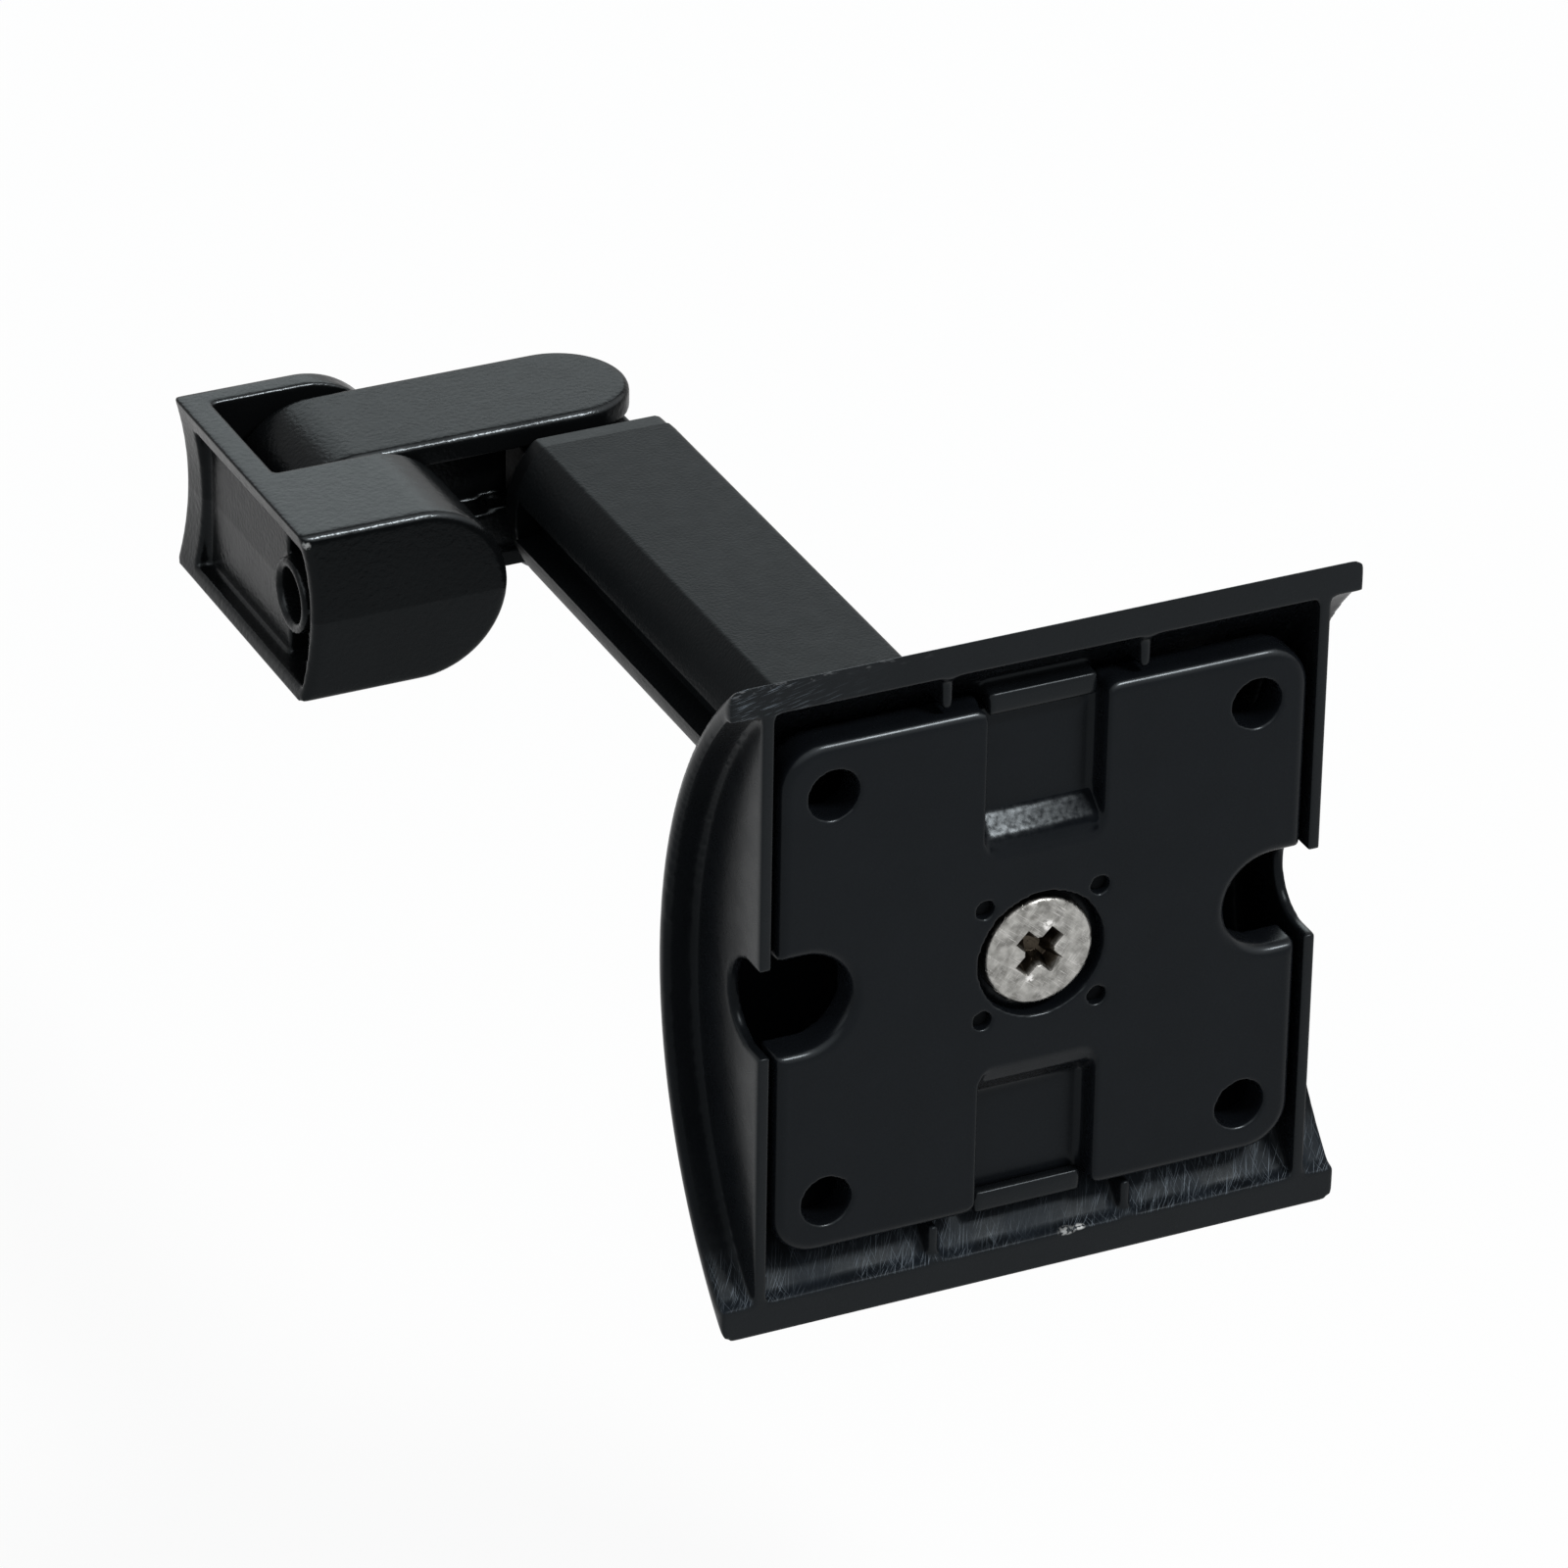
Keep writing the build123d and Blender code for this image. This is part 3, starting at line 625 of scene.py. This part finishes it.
bare_finish = metal("bare_finish", BARE_GREY, roughness=0.5)
dark_pin_finish = metal("dark_pin_finish", PIN_BLACK, roughness=0.6)
dressed("arm_root_plug", "arm_root_plug_cast", "wall_base", bare_finish,
        edge=0.0003)
dressed("locating_pins", "locating_pins_turned", "wall_base", dark_pin_finish,
        edge=0.0001)

# Long screw.
# The real screw is zinc-plated steel with a low round head and a cross recess. It is bright,
# a little mottled, and marked round the recess where the driver has slipped.
ZINC_DARK = (0.20, 0.197, 0.185, 1.0)
ZINC_LIGHT = (0.42, 0.415, 0.395, 1.0)
SLIP_BRIGHT = (0.60, 0.59, 0.57, 1.0)
BARE_BRIGHT = (0.88, 0.87, 0.85, 1.0)
GREASE_AND_SHADE_BROWN = (0.060, 0.050, 0.038, 1.0)
RECESS_DEPTH = (0.0006, 0.0012)
RECESS_TOP = (0.0009, 0.0005, 0.0030)
RECESS_FOOT = (-0.0011, 0.0005, -0.0029)


def worn_zinc(name):
    """Zinc plating, mottled and scratched, with dark grease and painted shade deep in the recess.
    """
    material, tree, shader, where = tree_of(name)
    shader.inputs["Metallic"].default_value = 1.0
    mottle = mask(tree, cloud(tree, where, scale=900.0, detail=6.0), 0.35, 0.65)
    plating = blend_colour(tree, mottle, ZINC_DARK, ZINC_LIGHT)
    slips = largest(tree, [
        scratch_lines(tree, where, ON_FACE, (0, 40, 0), scale=340.0, low=0.60, high=0.68),
        scratch_lines(tree, where, ON_FACE, (0, 128, 0), scale=400.0, low=0.62, high=0.70),
    ])
    bright = blend_colour(tree, slips, plating, SLIP_BRIGHT)
    # Painted shade with grease: the recess turns dark brown below the face.
    grease_and_shade = mask(tree, parts_of(tree, where)[1], *RECESS_DEPTH)
    tree.links.new(blend_colour(tree, grease_and_shade, bright, GREASE_AND_SHADE_BROWN), shader.inputs["Base Color"])
    tree.links.new(span(tree, mottle, 0.0, 1.0, 0.28, 0.42), shader.inputs["Roughness"])
    raise_grain(tree, shader, largest(tree, [mottle, slips]), depth=0.00003)
    return material


zinc_finish = worn_zinc("zinc_finish")
nick(zinc_finish, RECESS_TOP, radius=0.0008, colour=BARE_BRIGHT)
nick(zinc_finish, RECESS_FOOT, radius=0.0006, colour=BARE_BRIGHT)
dressed("arm_screw", "arm_screw_plated", "wall_base", zinc_finish, edge=0.00018)

# Knuckle and its screws.
# A die casting closes the arm's far end, and its flange shows as a thin line round the end.
# Two countersunk screws of blackened steel hold it from below.
CAST_BLACK = (0.0035, 0.0040, 0.0044, 1.0)
OXIDE_BLACK = (0.045, 0.045, 0.048, 1.0)
knuckle_finish = coat("knuckle_finish", CAST_BLACK, roughness=0.3, grain=2200.0, depth=0.00003,
                      specular=0.05, edge_sheen=0.15)
oxide_finish = metal("oxide_finish", OXIDE_BLACK, roughness=0.4)
softened("end_knuckle", "end_knuckle_cast", "wall_base", knuckle_finish,
         grid=0.00022, passes=4)
dressed("knuckle_screws", "knuckle_screws_black", "wall_base", oxide_finish,
        edge=0.0001)

# Swivel link.
# The real link is a die casting: a fork over the knuckle's tongue at one end, a barrel at the
# other, and a deep pocket under the top along each side.
link_finish = coat("link_finish", CAST_BLACK, roughness=0.26, grain=1700.0, depth=0.00006,
                   specular=0.048, edge_sheen=0.65)
softened("swivel_link", "swivel_link_cast", "swivel_arm", link_finish,
         grid=0.00025, passes=9)

# Swivel pivot.
# One blackened steel bolt holds the fork from below, with a split washer under its head. A nylon
# bush lines the tongue, with a nylon disc above and below it.
NYLON_BLACK = (0.035, 0.035, 0.036, 1.0)


def nylon(name, colour):
    """Moulded nylon, slightly waxy."""
    material, tree, shader, where = tree_of(name)
    shader.inputs["Subsurface Weight"].default_value = 0.15
    shader.inputs["Subsurface Radius"].default_value = (0.001, 0.0008, 0.0006)
    patches = cloud(tree, where, scale=300.0)
    tint = mottled(tree, patches, colour, darker=0.9, lighter=1.06)
    tree.links.new(tint, shader.inputs["Base Color"])
    tree.links.new(spread(tree, patches, 0.38, 0.5), shader.inputs["Roughness"])
    raise_grain(tree, shader, cloud(tree, where, scale=1800.0), depth=0.00001)
    return material


nylon_finish = nylon("nylon_finish", NYLON_BLACK)
dressed("swivel_bolt", "swivel_bolt_black", "swivel_arm", oxide_finish,
        edge=0.0002)
dressed("swivel_spring_washer", "swivel_spring_washer_black", "swivel_arm",
        oxide_finish, edge=0.0001)
dressed("swivel_bush", "swivel_bush_moulded", "wall_base", nylon_finish, edge=0.0001)
dressed("swivel_washer_upper", "swivel_washer_upper_cut", "wall_base", nylon_finish,
        edge=0.0001)
dressed("swivel_washer_lower", "swivel_washer_lower_cut", "wall_base", nylon_finish,
        edge=0.0001)

# Yoke.
# The real yoke is a die casting with a thin prong and a thick one. Its outer face is hollowed to
# a saddle with a raised rim, and the speaker's screw goes into the boss in the thick prong's well.
PARTING_HEIGHT = -0.0014
PARTING_BLEND = 0.0001
YOKE_CORNER = (-0.0411, 0.0983, 0.0086)


def parting_sheen(finish, above, below):
    """A painted sheen: one gloss above the parting line and another below it, which lightens the
    lower half.
    """
    tree = finish.node_tree
    socket = tree.nodes["Principled BSDF"].inputs["Specular IOR Level"]
    edges = socket.links[0].from_socket
    height = parts_of(tree, tree.nodes.new("ShaderNodeTexCoord").outputs["Object"])[2]
    halves = span(tree, height, PARTING_HEIGHT - PARTING_BLEND, PARTING_HEIGHT + PARTING_BLEND,
                  below, above)
    tree.links.new(largest(tree, [edges, halves]), socket)


yoke_finish = coat("yoke_finish", CAST_BLACK, roughness=0.24, grain=1700.0, depth=0.00005,
                   specular=0.074, edge_sheen=0.65)
parting_sheen(yoke_finish, above=0.074, below=0.11)
nick(yoke_finish, YOKE_CORNER, radius=0.0006, colour=CHIP_GREY)
softened("yoke", "yoke_cast", "speaker_yoke", yoke_finish,
         grid=0.00025, passes=12)

# Tilt pivot.
# A socket-head bolt of blackened steel comes through the thin prong, the link's barrel and its
# nylon bush into the thick prong. A nylon disc fills the gap on each side of the barrel.
dressed("tilt_bolt", "tilt_bolt_black", "speaker_yoke", oxide_finish, edge=0.0002)
dressed("tilt_spring_washer", "tilt_spring_washer_black", "speaker_yoke",
        oxide_finish, edge=0.0001)
dressed("tilt_bush", "tilt_bush_moulded", "swivel_arm", nylon_finish, edge=0.0001)
dressed("tilt_washer_front", "tilt_washer_front_cut", "speaker_yoke", nylon_finish,
        edge=0.0001)
dressed("tilt_washer_back", "tilt_washer_back_cut", "speaker_yoke", nylon_finish,
        edge=0.0001)

# Last look.
# The picture keeps its plain colours.
bpy.context.scene.view_settings.view_transform = "Standard"
